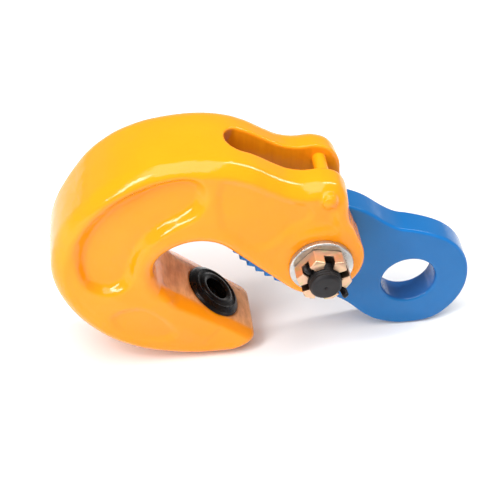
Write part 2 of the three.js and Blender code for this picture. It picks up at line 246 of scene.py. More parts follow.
def mesh_object(name, points_mm, faces, **marks):
    """A smooth mesh from points in millimetres about the pivot; marks are values stored at its vertices."""
    mesh = bpy.data.meshes.new(name)
    mesh.vertices.add(len(points_mm))
    mesh.vertices.foreach_set("co", (points_mm * MM + PIVOT).astype(np.float32).ravel())
    mesh.loops.add(faces.size)
    mesh.loops.foreach_set("vertex_index", faces.astype(np.int32).ravel())
    mesh.polygons.add(len(faces))
    mesh.polygons.foreach_set("loop_start", np.arange(0, faces.size, faces.shape[1], dtype=np.int32))
    for mark, values in marks.items():
        mesh.attributes.new(mark, "FLOAT", "POINT").data.foreach_set("value", values.astype(np.float32))
    mesh.update(calc_edges=True)
    mesh.validate()
    mesh.shade_smooth()
    made = bpy.data.objects.new(name, mesh)
    bpy.context.scene.collection.objects.link(made)
    return made


def piece(name, node, body, slot, shape, margin, step, material, marks):
    """One meshed piece that stands for a CAD node, looked for in the node's box and a margin round it."""
    low, high = pivot_mm(node)
    points, faces = surface_of(shape, low - margin, high + margin, step)
    made = mesh_object(name, points, faces, **(marks(points) if marks else {}))
    made.data.materials.append(material)
    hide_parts(node)
    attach(made, body)


# --- Forged body ----------------------------------------------------------------------------------------

BOSS_R = 21.8
THROAT = (-59.4, -3.0)
THROAT_R = 21.0
CHEEK_EDGE_DEG = 228.5
JAW_DEG = 230.3
JAW_FACE = 61.25
JAW_TIP_ALONG = 11.9
JAW_HALF, ROOT_HALF = 20.5, 22.7
TAPER_START, TAPER_END = 28, 62
RIM_EDGE, RIM_EDGE_RUN = 11.0, 22
CROWN_R = 190.0
BOSS_EDGE, BOSS_EDGE_END, THROAT_EDGE = 3.0, 2.6, 6.5
TIP_EDGE, FACE_EDGE = 5.0, 1.2
SLOT_HALF = 8.15
SLOT_END_X, SLOT_END_Z, SLOT_LEAN = -42.5, 64.0, 21 * RAD
SLOT_LIMIT, SLOT_LIMIT_FACING = (-59, 6), (46, 53)
CHAMFER_FLAT, CHAMFER_FLAT_GROWTH, CHAMFER_SLOPE = 12.6, 8, 3.3 / 8.0
TIP_REACH, TIP_PLAN_R = 2.2, 7.5
STOP_X, STOP_Z, STOP_R = 3.2, 37.8, 3.4
STOP_NEAR, STOP_FAR = -26.2, 23.2
STOP_COLLAR_R, STOP_COLLAR_Y = 4.0, -22.9
CRESCENT_DEPTH, CHEEK_DEPTH, ROOT_DEPTH = 5.2, 1.0, 1.6
WEB_DEPTH, WEB_RIM_DEPTH = 0.4, 1.5
WEB_WALL_START, WEB_WALL_END = 5.5, 10.5
BOSS_CLEAR_START, BOSS_CLEAR_END = 17.5, 24.5
SOLE_SWELL, SOLE_SWELL_START, SOLE_SWELL_END = 0.9, 5, 16
BOLT_HOLE_R = 8.3
ANVIL_SEAT_R, ANVIL_SEAT_DEPTH = 16.1, 0.7
STEM_HOLE_R, STEM_HOLE_DEPTH = 9.2, 8.2
BARE_HALF = 14.6
JAW_TOE = (-30.4, -58.6)

CHEEK_END = [(15.4, 20.5), (14.5, 27), (14.2, 33), (12.4, 38.6), (8.4, 43.4)]
RIM = [
    (1.5, 45.9), (-7, 45.7), (-14.5, 47.5), (-22, 51.9), (-31.5, 58), (-43, 62.5), (-58, 64.4), (-76.5, 62.7),
    (-91.3, 58), (-102, 51.3), (-112, 41.6), (-123.8, 24), (-129.5, 4), (-128.2, -12.2), (-121.8, -28),
    (-112.1, -41.4), (-100.4, -51.8), (-86.2, -59.9), (-72, -64.9), (-60, -67), (-50, -67.2), (-42, -66.8),
]
JAW_SIN, JAW_COS = math.sin(JAW_DEG * RAD), math.cos(JAW_DEG * RAD)


def on_jaw_face(along, drop=0.0):
    """A point beside the jaw face: so far along it towards the tip, and so far below it."""
    reach = JAW_FACE + drop
    return (reach * JAW_COS - along * JAW_SIN, reach * JAW_SIN + along * JAW_COS)


def jaw_place(x, z):
    """How far a point is along the jaw face, and how far it stands above the face."""
    return -x * JAW_SIN + z * JAW_COS, JAW_FACE - (x * JAW_COS + z * JAW_SIN)


def edge_radii(run, first, last):
    """One edge radius for each step of a run, from the first to the last."""
    return np.linspace(first, last, len(run) - 1)


def body_outline():
    """The outline's points, the edge radius at each, and whether each is on the rim."""
    throat = arc(*THROAT, THROAT_R, JAW_DEG, CHEEK_EDGE_DEG - 180)
    boss = arc(0, 0, BOSS_R, CHEEK_EDGE_DEG - 360, 30)
    rim = spline(CHEEK_END + RIM + [(-35.6, -64.6), (-31.9, -61.6), JAW_TOE])
    tip = spline([JAW_TOE, on_jaw_face(JAW_TIP_ALONG, 1.2), on_jaw_face(JAW_TIP_ALONG - 1.6, 0.1)])
    face = spline([on_jaw_face(JAW_TIP_ALONG - 1.6, 0.0), tuple(throat[0])], 0.8)
    edge = spline([tuple(throat[-1]), tuple(boss[0])], 0.8)
    along_rim = np.cumsum(np.hypot(*np.diff(rim, axis=0).T))
    rim_radii = BOSS_EDGE_END + (RIM_EDGE - BOSS_EDGE_END) * smooth(along_rim, 0, RIM_EDGE_RUN)
    runs = [
        (boss, edge_radii(boss, BOSS_EDGE, BOSS_EDGE_END)),
        (rim, rim_radii),
        (tip, edge_radii(tip, TIP_EDGE, TIP_EDGE)),
        (face, edge_radii(face, FACE_EDGE, FACE_EDGE)),
        (throat, edge_radii(throat, THROAT_EDGE, THROAT_EDGE)),
        (edge, edge_radii(edge, THROAT_EDGE, BOSS_EDGE)),
    ]
    points = np.concatenate([run[:-1] for run, _ in runs])
    radii = np.concatenate([run_radii for _, run_radii in runs])
    on_rim = np.concatenate([np.full(len(run) - 1, float(run is rim)) for run, _ in runs])
    return points, radii, on_rim


CRESCENT_TOP = [
    (-118.6, 14), (-116.5, 24), (-112, 34.5), (-105, 43.2), (-98, 48.8), (-91, 52.8), (-82.5, 56.6),
    (-73.4, 59.0), (-64, 59.6), (-57, 57.2), (-53.4, 51.5), (-53, 44), (-56.5, 37), (-63, 32),
    (-71.5, 27.4), (-79, 21.6), (-84.5, 13.6), (-87.4, 5), (-89.6, -4), (-94.6, -10.6), (-102.5, -13.2),
    (-110.4, -10.6), (-115.8, -4), (-118.2, 5),
]
CRESCENT_FLOOR = [
    (-112, 3), (-111.6, 9.5), (-110, 16), (-107, 23), (-103.2, 30.1), (-99.1, 35.8), (-94.2, 41.3),
    (-87.1, 46), (-80.2, 49.4), (-71.9, 52.3), (-64.6, 53), (-60.2, 51.6), (-58.6, 46.8), (-60.3, 40.6),
    (-65, 36.3), (-71, 33.2), (-78.5, 28), (-84.6, 21.5), (-89.2, 13.8), (-92.2, 6), (-94.4, -1.6),
    (-98.2, -7.6), (-103.5, -9.6), (-108.5, -7.4), (-111.4, -2.4),
]
CHEEK_TOP = [
    (-47, 57), (-36, 53.5), (-25, 47.5), (-15, 41.5), (-7, 37), (-3, 31), (-6, 24.5), (-15, 19),
    (-24, 12), (-33, 11), (-42, 18), (-49, 26), (-50.5, 40), (-49.5, 51),
]
CHEEK_FLOOR = [
    (-44, 52), (-35, 49), (-25, 43), (-15, 37), (-9.5, 33), (-8, 29.5), (-16, 24.5), (-24, 17.5),
    (-32, 16.5), (-39, 22.5), (-45, 30), (-46.5, 40), (-46, 48),
]
ROOT_TOP = [
    (-95, -22), (-104, -28), (-101, -39), (-91, -47), (-79, -51), (-71, -49), (-70, -42), (-76, -32),
    (-85, -23),
]
ROOT_FLOOR = [
    (-94, -26), (-99.5, -30), (-97, -37), (-89, -43.5), (-80, -46.5), (-75, -45), (-74.5, -41),
    (-80, -32), (-87, -26.5),
]


def sunk(x, z, top, floor):
    """How far a point is down a panel's wall: 0 outside the panel, 1 on its floor."""
    outer = np.maximum(-loop_distance(x, z, loop(top))[0], 0)
    inner = np.maximum(loop_distance(x, z, loop(floor))[0], 0)
    return smooth(outer / np.maximum(outer + inner, 1e-6), 0, 1)


def body_fields():
    """The outline, edge radius, rim and half thickness of the body, over its side."""
    flat = Flat(BODY_LOW[[0, 2]] - 4, BODY_HIGH[[0, 2]] + 4, 0.5)
    x, z = flat.x, flat.z
    points, radii, on_rim = body_outline()
    distance, nearest = loop_distance(x, z, points)
    flat.put("outline", distance, 0.7)
    flat.put("edge", radii[nearest], 8.0)
    flat.put("rim", on_rim[nearest], 5.0)
    reach = x * JAW_COS + z * JAW_SIN
    jaw_half = JAW_HALF + (ROOT_HALF - JAW_HALF) * smooth(-jaw_place(x, z)[0], 8, 50)
    jaw_half = jaw_half + SOLE_SWELL * smooth(reach, JAW_FACE + SOLE_SWELL_START, JAW_FACE + SOLE_SWELL_END)
    half = BODY_HALF + (jaw_half - BODY_HALF) * smooth(reach, TAPER_START, TAPER_END)
    share = half / BODY_HALF
    off_boss = smooth(np.hypot(x, z), BOSS_CLEAR_START, BOSS_CLEAR_END)
    flat.put("near_rim", on_rim[nearest], 9.0)
    web = WEB_DEPTH + WEB_RIM_DEPTH * flat.layers["near_rim"]
    side = off_boss * web * smooth(-distance, WEB_WALL_START, WEB_WALL_END)
    crescent = CRESCENT_DEPTH * sunk(x, z, CRESCENT_TOP, CRESCENT_FLOOR)
    cheek = CHEEK_DEPTH * sunk(x, z, CHEEK_TOP, CHEEK_FLOOR)
    root = ROOT_DEPTH * sunk(x, z, ROOT_TOP, ROOT_FLOOR)
    flat.put("half", half - (side + crescent + cheek + root) * share, 1.5)
    return flat


BODY = body_fields()


def slot_distance(x, y, z):
    """Signed distance to the lever's slot: open at the top and into the throat, closed at the lower back."""
    axis_x = SLOT_END_X + SLOT_HALF / math.cos(SLOT_LEAN)
    ahead = (x - axis_x) * math.cos(SLOT_LEAN) - (z - SLOT_END_Z) * math.sin(SLOT_LEAN)
    sides = np.where(ahead < 0, np.hypot(ahead, y), np.abs(y)) - SLOT_HALF
    facing_x, facing_z = SLOT_LIMIT_FACING
    past = (SLOT_LIMIT[0] - x) * facing_x + (SLOT_LIMIT[1] - z) * facing_z
    return np.maximum(sides, past / math.hypot(facing_x, facing_z))


def chamfer_depth(x, y, z):
    """How far a point is inside the wedges taken off both long edges of the jaw face."""
    along, above = jaw_place(x, z)
    flat_half = CHAMFER_FLAT + CHAMFER_FLAT_GROWTH * smooth(-along, 36, 50)
    plane = (above + (np.abs(y) - flat_half) * CHAMFER_SLOPE) / math.hypot(1, CHAMFER_SLOPE)
    return np.minimum(np.minimum(plane, 15 - above), along + 50)


def tip_depth(x, y, z):
    """How far a point is outside the rounded plan of the jaw's tip."""
    along, above = jaw_place(x, z)
    limit = JAW_TIP_ALONG + TIP_REACH
    plan = meet(along - limit, np.abs(y) - JAW_HALF - 0.5, TIP_PLAN_R)
    return np.minimum(np.minimum(plan, 30 - above), along + 8)


def bored(shape, radius, above, hole_r, depth, rounding):
    """The shape with a round hole sunk in the jaw face."""
    hole = np.maximum(np.maximum(radius - hole_r, -depth - above), above - 3)
    return meet(shape, -hole, rounding)


def body_shape(x, y, z):
    """The forging with its slot, its bolt hole and the anvil's seat."""
    outline, edge, rim, half = BODY.read(x, z, "outline", "edge", "rim", "half")
    across = np.abs(y)
    outline = outline + rim * y * y / (2 * CROWN_R)
    shape = meet(outline, across - half, edge)
    shape = meet(shape, chamfer_depth(x, y, z), 1.6)
    shape = meet(shape, tip_depth(x, y, z), 2.0)
    collar = np.hypot(np.hypot(x - STOP_X, z - STOP_Z), y - STOP_COLLAR_Y) - STOP_COLLAR_R
    shape = join(shape, collar, 1.0)
    shape = meet(shape, -slot_distance(x, y, z), 0.9)
    shape = meet(shape, BOLT_HOLE_R - np.hypot(x, z), 0.5)
    radius, above, _ = anvil_frame(x, y, z)
    shape = bored(shape, radius, above, ANVIL_SEAT_R, ANVIL_SEAT_DEPTH, 0.3)
    return bored(shape, radius, above, STEM_HOLE_R, STEM_HOLE_DEPTH, 0.2)


def body_marks(points):
    """Where the jaw face's paint is worn thin, and how far a point is inside the slot, where the paint gets
    painted shade.
    """
    x, y, z = points.T
    along, above = jaw_place(x, z)
    bare = smooth(-np.abs(above), -1.1, -0.35) * smooth(BARE_HALF - np.abs(y), -0.6, 0.8)
    outline, = BODY.read(x, z, "outline")
    inside = smooth(1.2 - np.abs(slot_distance(x, y, z)), 0, 0.9) * smooth(outline, -1.2, -2.6)
    return {"bare": bare * smooth(along, -54, -46), "slot": inside}


# --- Lever ----------------------------------------------------------------------------------------------

LEVER_HALF = 7.5
EYE = (50.1, -35.6)
EYE_BORE_R = 14.1
CAM = (10.4, 23.0)
CAM_R, CAM_HEEL_DEG = 58.3, 244.6
LEVER_BORE_R = 8.08
TOOTH_DEG, TOOTH_DEPTH, TOOTH_COUNT = 6.0, 2.9, 13


def lever_outline():
    """The lever's side: round the shackle eye and the back, then the saw teeth of the cam."""
    edge = spline([
        (-14.6, -29.2), (-4, -34), (6, -39.2), (14.9, -44.9), (20.4, -49.7), (26, -55.9), (30.9, -60.2),
        (35.2, -63), (43.7, -66.2), (51.7, -67.1), (59.2, -66.7), (66.2, -64.4), (72.1, -59.6),
        (76.9, -52.9), (80.2, -44.7), (81.2, -34.9), (79.5, -25), (74.9, -16.3), (68.7, -10.1),
        (62, -6), (55.3, -3.1), (48.5, -0.8), (44.9, 0.1), (40.8, 2), (35.1, 6.1), (26.2, 13.5),
        (18, 18), (6, 22.5), (-6, 26.5), (-22, 31.5), (-38, 37.2), (-43, 38.5),
    ])
    teeth = []
    for i in range(TOOTH_COUNT):
        tip = CAM_HEEL_DEG - TOOTH_DEG * (TOOTH_COUNT - i)
        teeth.append(polar(*CAM, CAM_R, tip))
        if i < TOOTH_COUNT - 1:
            teeth.append(polar(*CAM, CAM_R - TOOTH_DEPTH, tip + TOOTH_DEG - 0.4))
    return np.concatenate([edge, np.array(teeth)])


def lever_fields():
    """The outline of the lever, over its side."""
    flat = Flat(LEVER_LOW[[0, 2]] - 3, LEVER_HIGH[[0, 2]] + 3, 0.4)
    distance, _ = loop_distance(flat.x, flat.z, lever_outline())
    flat.put("outline", distance, 0.5)
    return flat


LEVER = lever_fields()


def lever_shape(x, y, z):
    """The lever: a flat plate with rounded edges, crisper at the teeth, and two bores."""
    outline, = LEVER.read(x, z, "outline")
    across = np.abs(y) - LEVER_HALF
    near_cam = smooth(np.hypot(x - CAM[0], z - CAM[1]), CAM_R - 6, CAM_R - 3.2) * smooth(-x - 14, 0, 3)
    shape = meet(outline, across, 1.6 - 1.2 * near_cam)
    shape = meet(shape, EYE_BORE_R - np.hypot(x - EYE[0], z - EYE[1]), 1.8)
    return meet(shape, LEVER_BORE_R - np.hypot(x, z), 0.4)


def lever_marks(points):
    """Where the paint is lighter over the teeth and the edges, and the eye's bore wall, which gets painted
    shade.
    """
    x, y, z = points.T
    outline, = LEVER.read(x, z, "outline")
    edge = smooth(np.abs(y), LEVER_HALF - 1.4, LEVER_HALF - 0.3) * smooth(outline, -1.6, -0.5)
    # The eye's bore wall, darkened in the paint as painted shade.
    bore = smooth(-np.hypot(x - EYE[0], z - EYE[1]), -EYE_BORE_R - 0.5, -EYE_BORE_R - 0.1)
    return {"edge": edge, "bore": bore}


# --- Turned and hexagonal hardware ----------------------------------------------------------------------

PIN_DEG = 139
HEX_HALF = 12.0
BOLT_R, BOLT_CHAMFER = 8.0, 1.5
THREAD_DEPTH, THREAD_PITCH, THREAD_LENGTH = 0.22, 1.5, 15


def hexagon(x, z, half):
    """Signed distance to a hexagon with a corner 30 degrees from the split pin."""
    turns = [np.cos((PIN_DEG + 60 * i) * RAD) * x + np.sin((PIN_DEG + 60 * i) * RAD) * z for i in range(3)]
    return np.max(np.abs(turns), axis=0) - half


def pin_frame(x, z):
    """Distance along the split pin, from the axis towards its eye, and across it."""
    c, s = math.cos(PIN_DEG * RAD), math.sin(PIN_DEG * RAD)
    return c * x + s * z, -s * x + c * z


NUT_FAR, NUT_NEAR = NUT_HIGH[1], NUT_LOW[1]
NUT_SLOT_W, NUT_SLOT_DEPTH = 4.6, 5.0
NUT_SLOT_FLOOR = NUT_NEAR + NUT_SLOT_DEPTH
HEAD_GAP = 0.1
HEAD_NEAR, HEAD_FAR = -WASHER_LOW[1] + HEAD_GAP, BOLT_HIGH[1]
HEX_CONE, HEX_CONE_SCALE = 1.9, 2.1
PIN_Y = NUT_SLOT_FLOOR - 1.9


def nut_slot_offsets(x, z):
    """The distance from the middle of each of the nut's three pairs of slots."""
    turns = [(PIN_DEG + 60 * i) * RAD for i in range(3)]
    return [np.abs(-math.sin(a) * x + math.cos(a) * z) for a in turns]


def nut_shape(x, y, z):
    """The slotted nut, chamfered on both faces."""
    radius = np.hypot(x, z)
    front = (radius - (HEX_HALF - 0.2) - (y - NUT_NEAR) * HEX_CONE) / HEX_CONE_SCALE
    back = (radius - (HEX_HALF + 0.4) + (y - NUT_FAR) * HEX_CONE) / HEX_CONE_SCALE
    shape = meet(hexagon(x, z, HEX_HALF), np.maximum(NUT_NEAR - y, y - NUT_FAR), 0.35)
    shape = meet(meet(shape, front, 0.4), back, 0.4)
    for offset in nut_slot_offsets(x, z):
        slot = meet(offset - NUT_SLOT_W / 2, y - NUT_SLOT_FLOOR, 1.0)
        shape = meet(shape, -slot, 0.3)
    return meet(shape, BOLT_R + 0.15 - radius, 0.35)


def nut_marks(points):
    """How far a point is down one of the nut's slots, where the zinc gets painted shade."""
    x, y, z = points.T
    depth = smooth(y - NUT_NEAR, 0.3, 1.2) * smooth(NUT_SLOT_FLOOR + 0.4 - y, 0, 0.3)
    offset = np.min(nut_slot_offsets(x, z), axis=0)
    return {"slot_shade": smooth(NUT_SLOT_W / 2 + 0.35 - offset, 0, 0.3) * depth}


def bolt_marks(points):
    """Where the bolt's end face is."""
    return {"end": smooth(BOLT_LOW[1] + 1.1 - points[:, 1], 0, 0.5)}


def bolt_shape(x, y, z):
    """The bolt: a threaded, chamfered end with a centre dimple, and a hexagon head."""
    radius = np.hypot(x, z)
    end = BOLT_LOW[1]
    threaded = smooth(end + THREAD_LENGTH - y, 0, 2) * smooth(y - end, 1.4, 2.2)
    ridge = THREAD_DEPTH * np.cos((y - end) * math.tau / THREAD_PITCH) * threaded
    shank = meet(radius - BOLT_R + THREAD_DEPTH - ridge, end - y, 0.25)
    shank = meet(shank, (radius - BOLT_R + BOLT_CHAMFER - (y - end)) / math.sqrt(2), 0.2)
    shank = np.maximum(shank, y - HEAD_NEAR - 1)
    dimple = np.hypot(radius, y - end + 0.3) - 1.0
    shank = meet(shank, -dimple, 0.15)
    cone = (radius - (HEX_HALF - 0.2) + (y - HEAD_FAR) * HEX_CONE) / HEX_CONE_SCALE
    head = meet(hexagon(x, z, HEX_HALF), np.maximum(HEAD_NEAR - y, y - HEAD_FAR), 0.4)
    head = meet(head, cone, 0.4)
    return join(shank, head, 0.3)


def washer_shape(node):
    """A flat washer as thick as the node's box."""
    low, high = pivot_mm(node)

    def shape(x, y, z):
        radius = np.hypot(x, z)
        ring = meet(radius - WASHER_HIGH[0], np.maximum(low[1] - y, y - high[1]), 0.55)
        return meet(ring, BOLT_R + 0.3 - radius, 0.4)
    return shape


def wire(p, a, b, radius):
    """Signed distance to a round wire from a to b."""
    a, b = np.array(a, float), np.array(b, float)
    d = b - a
    t = np.clip(sum((p[k] - a[k]) * d[k] for k in range(3)) / (d @ d), 0, 1)
    return np.sqrt(sum((p[k] - a[k] - t * d[k]) ** 2 for k in range(3))) - radius


PIN_LEG_R, PIN_SPREAD = 1.2, 0.5
PIN_EYE_AT, PIN_EYE_LIFT, PIN_EYE_R, PIN_EYE_STRETCH, PIN_EYE_WIRE = 11.0, 1.5, 1.5, 1.1, 1.05
PIN_BEND = [(9.5, 0), (-9.5, 0), (-11.8, -0.6), (-13.0, -2.6), (-13.4, -4.6)]


def pin_shape(x, y, z):
    """The split pin: its eye stands in the nut's slot by the bolt, and its legs are bent outwards."""
    along, across = pin_frame(x, z)
    p = (along, y - PIN_Y, across)
    shape = None
    for side in (-1, 1):
        bend = [(u, lift, PIN_SPREAD * side) for u, lift in PIN_BEND]
        for a, b in zip(bend, bend[1:]):
            leg = wire(p, a, b, PIN_LEG_R)
            shape = leg if shape is None else join(shape, leg, 0.25)
    ring = np.hypot((along - PIN_EYE_AT) / PIN_EYE_STRETCH, y - PIN_Y + PIN_EYE_LIFT) - PIN_EYE_R
    eye = np.hypot(ring, across) - PIN_EYE_WIRE
    return join(shape, eye, 0.3)


def stop_shape(x, y, z):
    """The painted stop pin, with rounded ends."""
    radius = np.hypot(x - STOP_X, z - STOP_Z)
    return meet(radius - STOP_R, np.maximum(STOP_NEAR - y, y - STOP_FAR), 1.2)


ANVIL_ALONG, ANVIL_R, ANVIL_HEIGHT = -14.0, 15.3, 2.9
BEVEL_START, BEVEL_SLOPE = 0.9, 1.5
GROOVE_R, GROOVE_HALF, GROOVE_FLOOR = 11.0, 0.85, 2.2
RING_R, RING_LEVEL, RING_WIRE_R, RING_STRETCH = 8.4, 1.9, 1.55, 1.05
STEM_R, STEM_DEPTH = 9, 8
RECESS_R, RECESS_DEPTH, ANVIL_BORE_R = 6.5, 5.4, 3.3
SCREW_HEAD_R, SCREW_HEAD_DROP = 5.2, 1.8
SCREW_R, SCREW_DEPTH = 3, 19.4
SOCKET_HALF, SOCKET_DEPTH = 2.5, 4.0


def anvil_frame(x, y, z):
    """Distance from the anvil's axis, height above the jaw face, and place along it."""
    along, above = jaw_place(x, z)
    return np.hypot(along - ANVIL_ALONG, y), above, along - ANVIL_ALONG


def anvil_shape(x, y, z):
    """The anvil: a bevelled flange with a groove and a raised ring, and a recessed, bored stem."""
    radius, above, _ = anvil_frame(x, y, z)
    base = meet(radius - ANVIL_R - 0.3, np.maximum(above - 0.5, -0.5 - above), 0.25)
    flange = meet(radius - ANVIL_R + 0.2, np.maximum(above - ANVIL_HEIGHT, -above), 0.3)
    bevel = (radius - ANVIL_R + (above - BEVEL_START) * BEVEL_SLOPE) / math.hypot(1, BEVEL_SLOPE)
    flange = meet(flange, bevel, 0.35)
    groove = np.maximum(np.abs(radius - GROOVE_R) - GROOVE_HALF, GROOVE_FLOOR - above)
    shape = meet(join(base, flange, 0.2), -groove, 0.3)
    ring = np.hypot((radius - RING_R) / RING_STRETCH, above - RING_LEVEL) - RING_WIRE_R
    shape = join(shape, ring, 0.35)
    stem = np.maximum(radius - STEM_R, np.maximum(above - 1, -STEM_DEPTH - above))
    recess = np.maximum(radius - RECESS_R, -RECESS_DEPTH - above)
    shape = meet(np.minimum(shape, stem), -recess, 0.5)
    return meet(shape, ANVIL_BORE_R - radius, 0.1)


def screw_shape(x, y, z):
    """The socket screw down the anvil's bore."""
    radius, above, along = anvil_frame(x, y, z)
    head = meet(radius - SCREW_HEAD_R, np.maximum(above + SCREW_HEAD_DROP, -RECESS_DEPTH - above), 0.5)
    shank = np.maximum(radius - SCREW_R, np.maximum(above + 5, -SCREW_DEPTH - above))
    sides = [np.cos(60 * i * RAD) * along + np.sin(60 * i * RAD) * y for i in range(3)]
    socket = np.maximum(np.max(np.abs(sides), axis=0) - SOCKET_HALF, -SOCKET_DEPTH - above)
    return meet(join(head, shank, 0.2), -socket, 0.25)


# --- Materials ------------------------------------------------------------------------------------------


class Finish:
    """A procedural material being built: one Principled shader and the nodes that drive it."""

    def __init__(self, name, **sockets):
        self.material = bpy.data.materials.new(name)
        self.material.use_nodes = True
        self.tree = self.material.node_tree
        self.shader = self.tree.nodes["Principled BSDF"]
        self.place = self.node("ShaderNodeTexCoord").outputs["Object"]
        for socket, value in sockets.items():
            self.shader.inputs[socket.replace("_", " ")].default_value = value

    def node(self, kind, **inputs):
        made = self.tree.nodes.new(kind)
        for socket, value in inputs.items():
            self.put(made.inputs[socket.replace("_", " ")], value)
        return made

    def put(self, socket, value):
        if isinstance(value, bpy.types.NodeSocket):
            self.tree.links.new(value, socket)
        else:
            socket.default_value = value

    def noise(self, scale, detail=2.0, rough=0.5, stretch=(1, 1, 1)):
        place = self.place
        if stretch != (1, 1, 1):
            place = self.node("ShaderNodeMapping", Vector=place, Scale=stretch).outputs["Vector"]
        made = self.node("ShaderNodeTexNoise", Vector=place, Scale=scale, Detail=detail, Roughness=rough)
        return made.outputs["Fac"]

    def attribute(self, name):
        made = self.tree.nodes.new("ShaderNodeAttribute")
        made.attribute_name = name
        return made.outputs["Fac"]

    def ramp(self, value, start, stop, low=0.0, high=1.0):
        made = self.tree.nodes.new("ShaderNodeMapRange")
        made.interpolation_type = "SMOOTHSTEP"
        sockets = ("Value", "From Min", "From Max", "To Min", "To Max")
        for socket, given in zip(sockets, (value, start, stop, low, high)):
            self.put(made.inputs[socket], given)
        return made.outputs["Result"]

    def math(self, operation, a, b=0.0):
        made = self.tree.nodes.new("ShaderNodeMath")
        made.operation = operation
        self.put(made.inputs[0], a)
        self.put(made.inputs[1], b)
        return made.outputs[0]

    def mix(self, share, a, b):
        made = self.tree.nodes.new("ShaderNodeMix")
        made.data_type = "RGBA"
        self.put(made.inputs["Factor"], share)
        self.put(made.inputs["A"], a)
        self.put(made.inputs["B"], b)
        return made.outputs["Result"]

    def bump(self, height, distance, strength=1.0, under=None):
        made = self.node("ShaderNodeBump", Height=height, Distance=distance, Strength=strength)
        if under is not None:
            self.tree.links.new(under, made.inputs["Normal"])
        return made.outputs["Normal"]

    def drive(self, **sockets):
        for socket, value in sockets.items():
            self.tree.links.new(value, self.shader.inputs[socket.replace("_", " ")])
        return self.material


def rgb(r, g, b):
    """A linear colour from 0 to 255 display values."""
    lin = [(v / 255 / 12.92) if v <= 10 else ((v / 255 + 0.055) / 1.055) ** 2.4 for v in (r, g, b)]
    return (*lin, 1.0)


def body_paint():
    """Glossy paint, streaked inside the slot and darkened there as painted shade, and worn thin on the jaw
    face.
    """
    f = Finish("body_paint", Specular_IOR_Level=0.3)
    broad, fine = f.noise(18, 3), f.noise(260, 3)
    bare = f.attribute("bare")
    base = f.mix(f.ramp(broad, 0.35, 0.7), (0.88, 0.275, 0.005, 1), (0.91, 0.30, 0.006, 1))
    base = f.mix(f.ramp(fine, 0.62, 0.8, 0, 0.12), base, (0.78, 0.22, 0.005, 1))
    # Inside the slot the paint is streaked, and darkened as painted shade for the slot's recess.
    slot = f.attribute("slot")
    streak = f.noise(420, 2, 0.6, (1, 1, 0.12))
    slot_streaks_and_shade = f.mix(streak, rgb(214, 122, 12), rgb(238, 150, 20))
    base = f.mix(f.math("MULTIPLY", slot, 0.75), base, slot_streaks_and_shade)
    scratch = f.ramp(f.noise(260, 4, 0.65, (1, 0.3, 1)), 0.3, 0.7)
    worn = f.mix(scratch, (0.62, 0.25, 0.085, 1), (0.95, 0.48, 0.20, 1))
    colour = f.mix(bare, base, worn)
    gloss = f.ramp(f.noise(60, 3), 0.3, 0.7, 0.09, 0.13)
    rough = f.math("MAXIMUM", f.ramp(bare, 0.0, 1.0, 0.0, 0.45), gloss)
    peel = f.bump(f.noise(430, 2), 0.00005)
    wave = f.bump(f.noise(110, 3), 0.0004, 1.0, peel)
    return f.drive(Base_Color=colour, Roughness=rough, Normal=wave)


def lever_paint():
    """Glossy paint, lighter on the edges, with painted shade in the eye's bore."""
    f = Finish("lever_paint", Specular_IOR_Level=0.25)
    base = f.mix(f.ramp(f.noise(22, 3), 0.3, 0.75), (0.008, 0.125, 0.36, 1), (0.011, 0.145, 0.40, 1))
    base = f.mix(f.ramp(f.noise(300, 3), 0.4, 0.9, 0, 0.12), base, (0.006, 0.09, 0.27, 1))
    # Lighter blue along the edges and teeth.
    base = f.mix(f.math("MULTIPLY", f.attribute("edge"), 0.5), base, (0.004, 0.16, 0.52, 1))
    # Darker blue on the eye's bore wall: painted shade in the hole.
    base = f.mix(f.math("MULTIPLY", f.attribute("bore"), 0.6), base, (0.03, 0.09, 0.30, 1))
    rough = f.ramp(f.noise(60, 3), 0.3, 0.8, 0.14, 0.22)
    peel = f.bump(f.noise(620, 2), 0.00004)
    return f.drive(Base_Color=base, Roughness=rough, Normal=f.bump(f.noise(70, 2), 0.00012, 1.0, peel))


def turned_rings(f, centre, axis, scale):
    """Fine rings left by turning, as a height."""
    offset = f.node("ShaderNodeVectorMath", Vector=f.place)
    offset.operation = "SUBTRACT"
    offset.inputs[1].default_value = centre
    cross = f.node("ShaderNodeVectorMath")
    cross.operation = "CROSS_PRODUCT"
    f.tree.links.new(offset.outputs[0], cross.inputs[0])
    cross.inputs[1].default_value = axis
    length = f.node("ShaderNodeVectorMath")
    length.operation = "LENGTH"
    f.tree.links.new(cross.outputs[0], length.inputs[0])
    radius = length.outputs["Value"]
    made = f.tree.nodes.new("ShaderNodeTexNoise")
    made.noise_dimensions = "1D"
    f.put(made.inputs["W"], f.math("MULTIPLY", radius, scale))
    made.inputs["Scale"].default_value = 1.0
    made.inputs["Detail"].default_value = 3.0
    return made.outputs["Fac"]


TURNING = 2600
AXIS_Y = (0.0, 1.0, 0.0)
JAW_AXIS = (-JAW_COS, 0.0, -JAW_SIN)


def metal(name, dark, light, rough, centre, axis, metallic=1.0, ring=0.00003, mottled=90):
    """A turned metal, mottled from dark to light."""
    f = Finish(name, Metallic=metallic, Specular_IOR_Level=0.25 if metallic < 0.5 else 0.5)
    rings = turned_rings(f, centre, axis, TURNING)
    tone = f.mix(f.ramp(f.noise(mottled, 4, 0.6), 0.3, 0.7), dark, light)
    tone = f.mix(f.ramp(rings, 0.45, 0.75, 0, 0.2), tone, dark)
    finish = f.ramp(f.noise(220, 3), 0.25, 0.8, rough[0], rough[1])
    bumps = f.bump(rings, ring, 0.6, f.bump(f.noise(700, 2), 0.00003, 0.7))
    return f.drive(Base_Color=tone, Roughness=finish, Normal=bumps)


